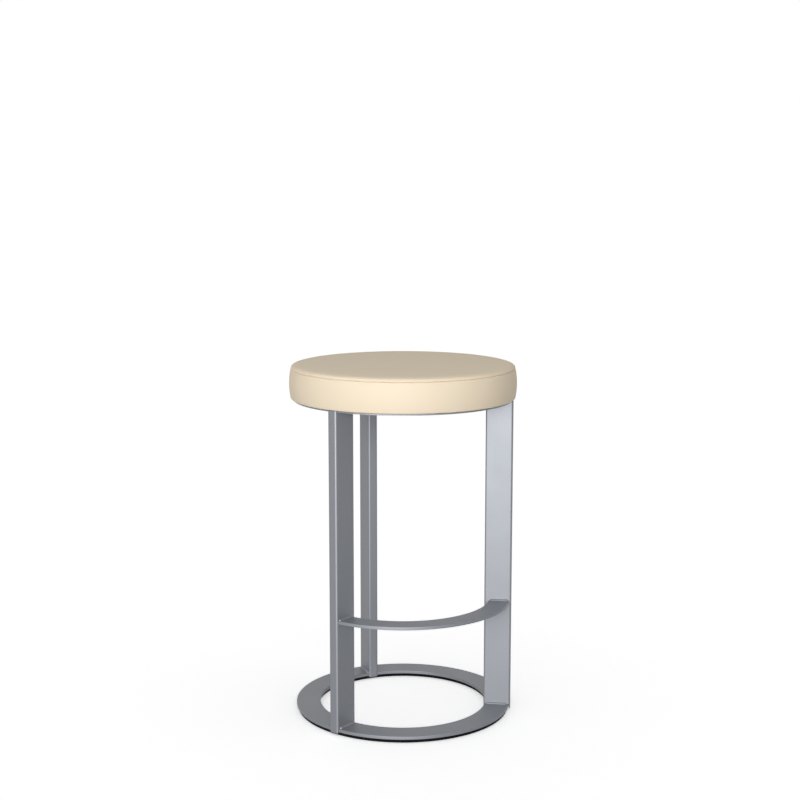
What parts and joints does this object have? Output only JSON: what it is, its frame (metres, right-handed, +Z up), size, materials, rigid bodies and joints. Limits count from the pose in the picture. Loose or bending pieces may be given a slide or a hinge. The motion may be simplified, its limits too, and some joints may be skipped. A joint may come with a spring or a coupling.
{
  "type": "counter stool",
  "caption": "Round backless counter stool: flat floor ring, upright rectangular tubes, curved footrest bar and a boxed round cushion.",
  "frame": {"origin": "on the floor, at the middle of the floor ring", "axes": "+Z up through the seat; the footrest faces -Y and one upright stands at the rear, at +Y"},
  "size_m": [0.4249, 0.4249, 0.6637],
  "materials": {
    "frame_steel": "satin",
    "glide_black": "matte",
    "tape": "matte",
    "fastener_zinc": "satin",
    "board_plywood": "matte",
    "dust_cloth": "matte",
    "cushion_fill": "matte",
    "cover_faux_leather": "satin"
  },
  "bodies": {
    "root": {"glide_ring": "glide_black", "glide_tape": "tape", "base_ring": "frame_steel", "upright_front_left": "frame_steel", "upright_front_right": "frame_steel", "upright_rear": "frame_steel", "footrest_bar": "frame_steel", "base_welds": "frame_steel", "footrest_welds": "frame_steel", "top_welds": "frame_steel", "seat_plate": "frame_steel", "seat_screws": "fastener_zinc", "screw_washers": "fastener_zinc", "tee_nuts": "fastener_zinc", "seat_board": "board_plywood", "cover_staples": "fastener_zinc", "dust_cover": "dust_cloth", "dust_cover_staples": "fastener_zinc", "seat_foam": "cushion_fill", "seat_wadding": "cushion_fill", "cover_side_band": "cover_faux_leather", "cover_top_panel": "cover_faux_leather"}
  },
  "joints": []
}
